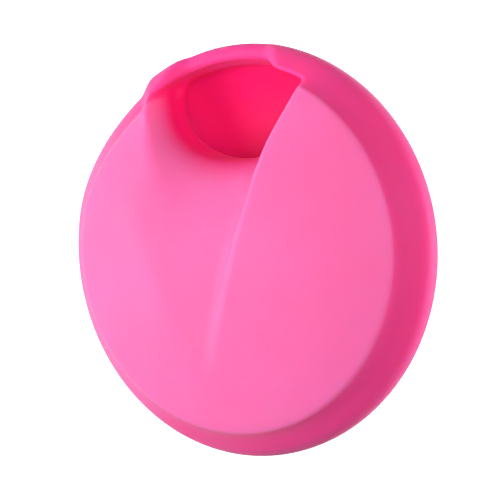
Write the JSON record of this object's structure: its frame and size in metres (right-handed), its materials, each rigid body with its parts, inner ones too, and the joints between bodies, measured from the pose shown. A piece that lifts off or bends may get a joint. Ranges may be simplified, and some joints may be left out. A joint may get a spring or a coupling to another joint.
{
  "type": "silicone cupping cup",
  "caption": "Round hollow silicone cupping cup with a low domed press face, a slanting scoop and one lipped mouth at its upper edge.",
  "frame": {"origin": "middle of the flat back that the cup lies on", "axes": "+Z out of the domed face, +Y towards the mouth, +X across the cup to the right of a person facing the dome with the mouth up"},
  "size_m": [0.072, 0.072, 0.022],
  "materials": {
    "silicone_back": "satin matte pink silicone, moulded",
    "silicone_wall": "satin matte pink silicone, moulded",
    "silicone_lip": "satin matte pink silicone, moulded",
    "silicone_face": "satin matte pink silicone, moulded"
  },
  "bodies": {
    "shell": {"back_wall": "silicone_back", "back_rim": "silicone_wall", "side_wall": "silicone_wall", "face_rim": "silicone_wall", "mouth_lip": "silicone_lip"},
    "face": {"press_face": "silicone_face", "scoop_floor": "silicone_face"}
  },
  "joints": [
    {"name": "face_press", "type": "slide", "parent": "shell", "child": "face", "axis": [0, 0, -1], "range_m": [0, 0.005], "stiffness_N_per_m": 1500}
  ]
}
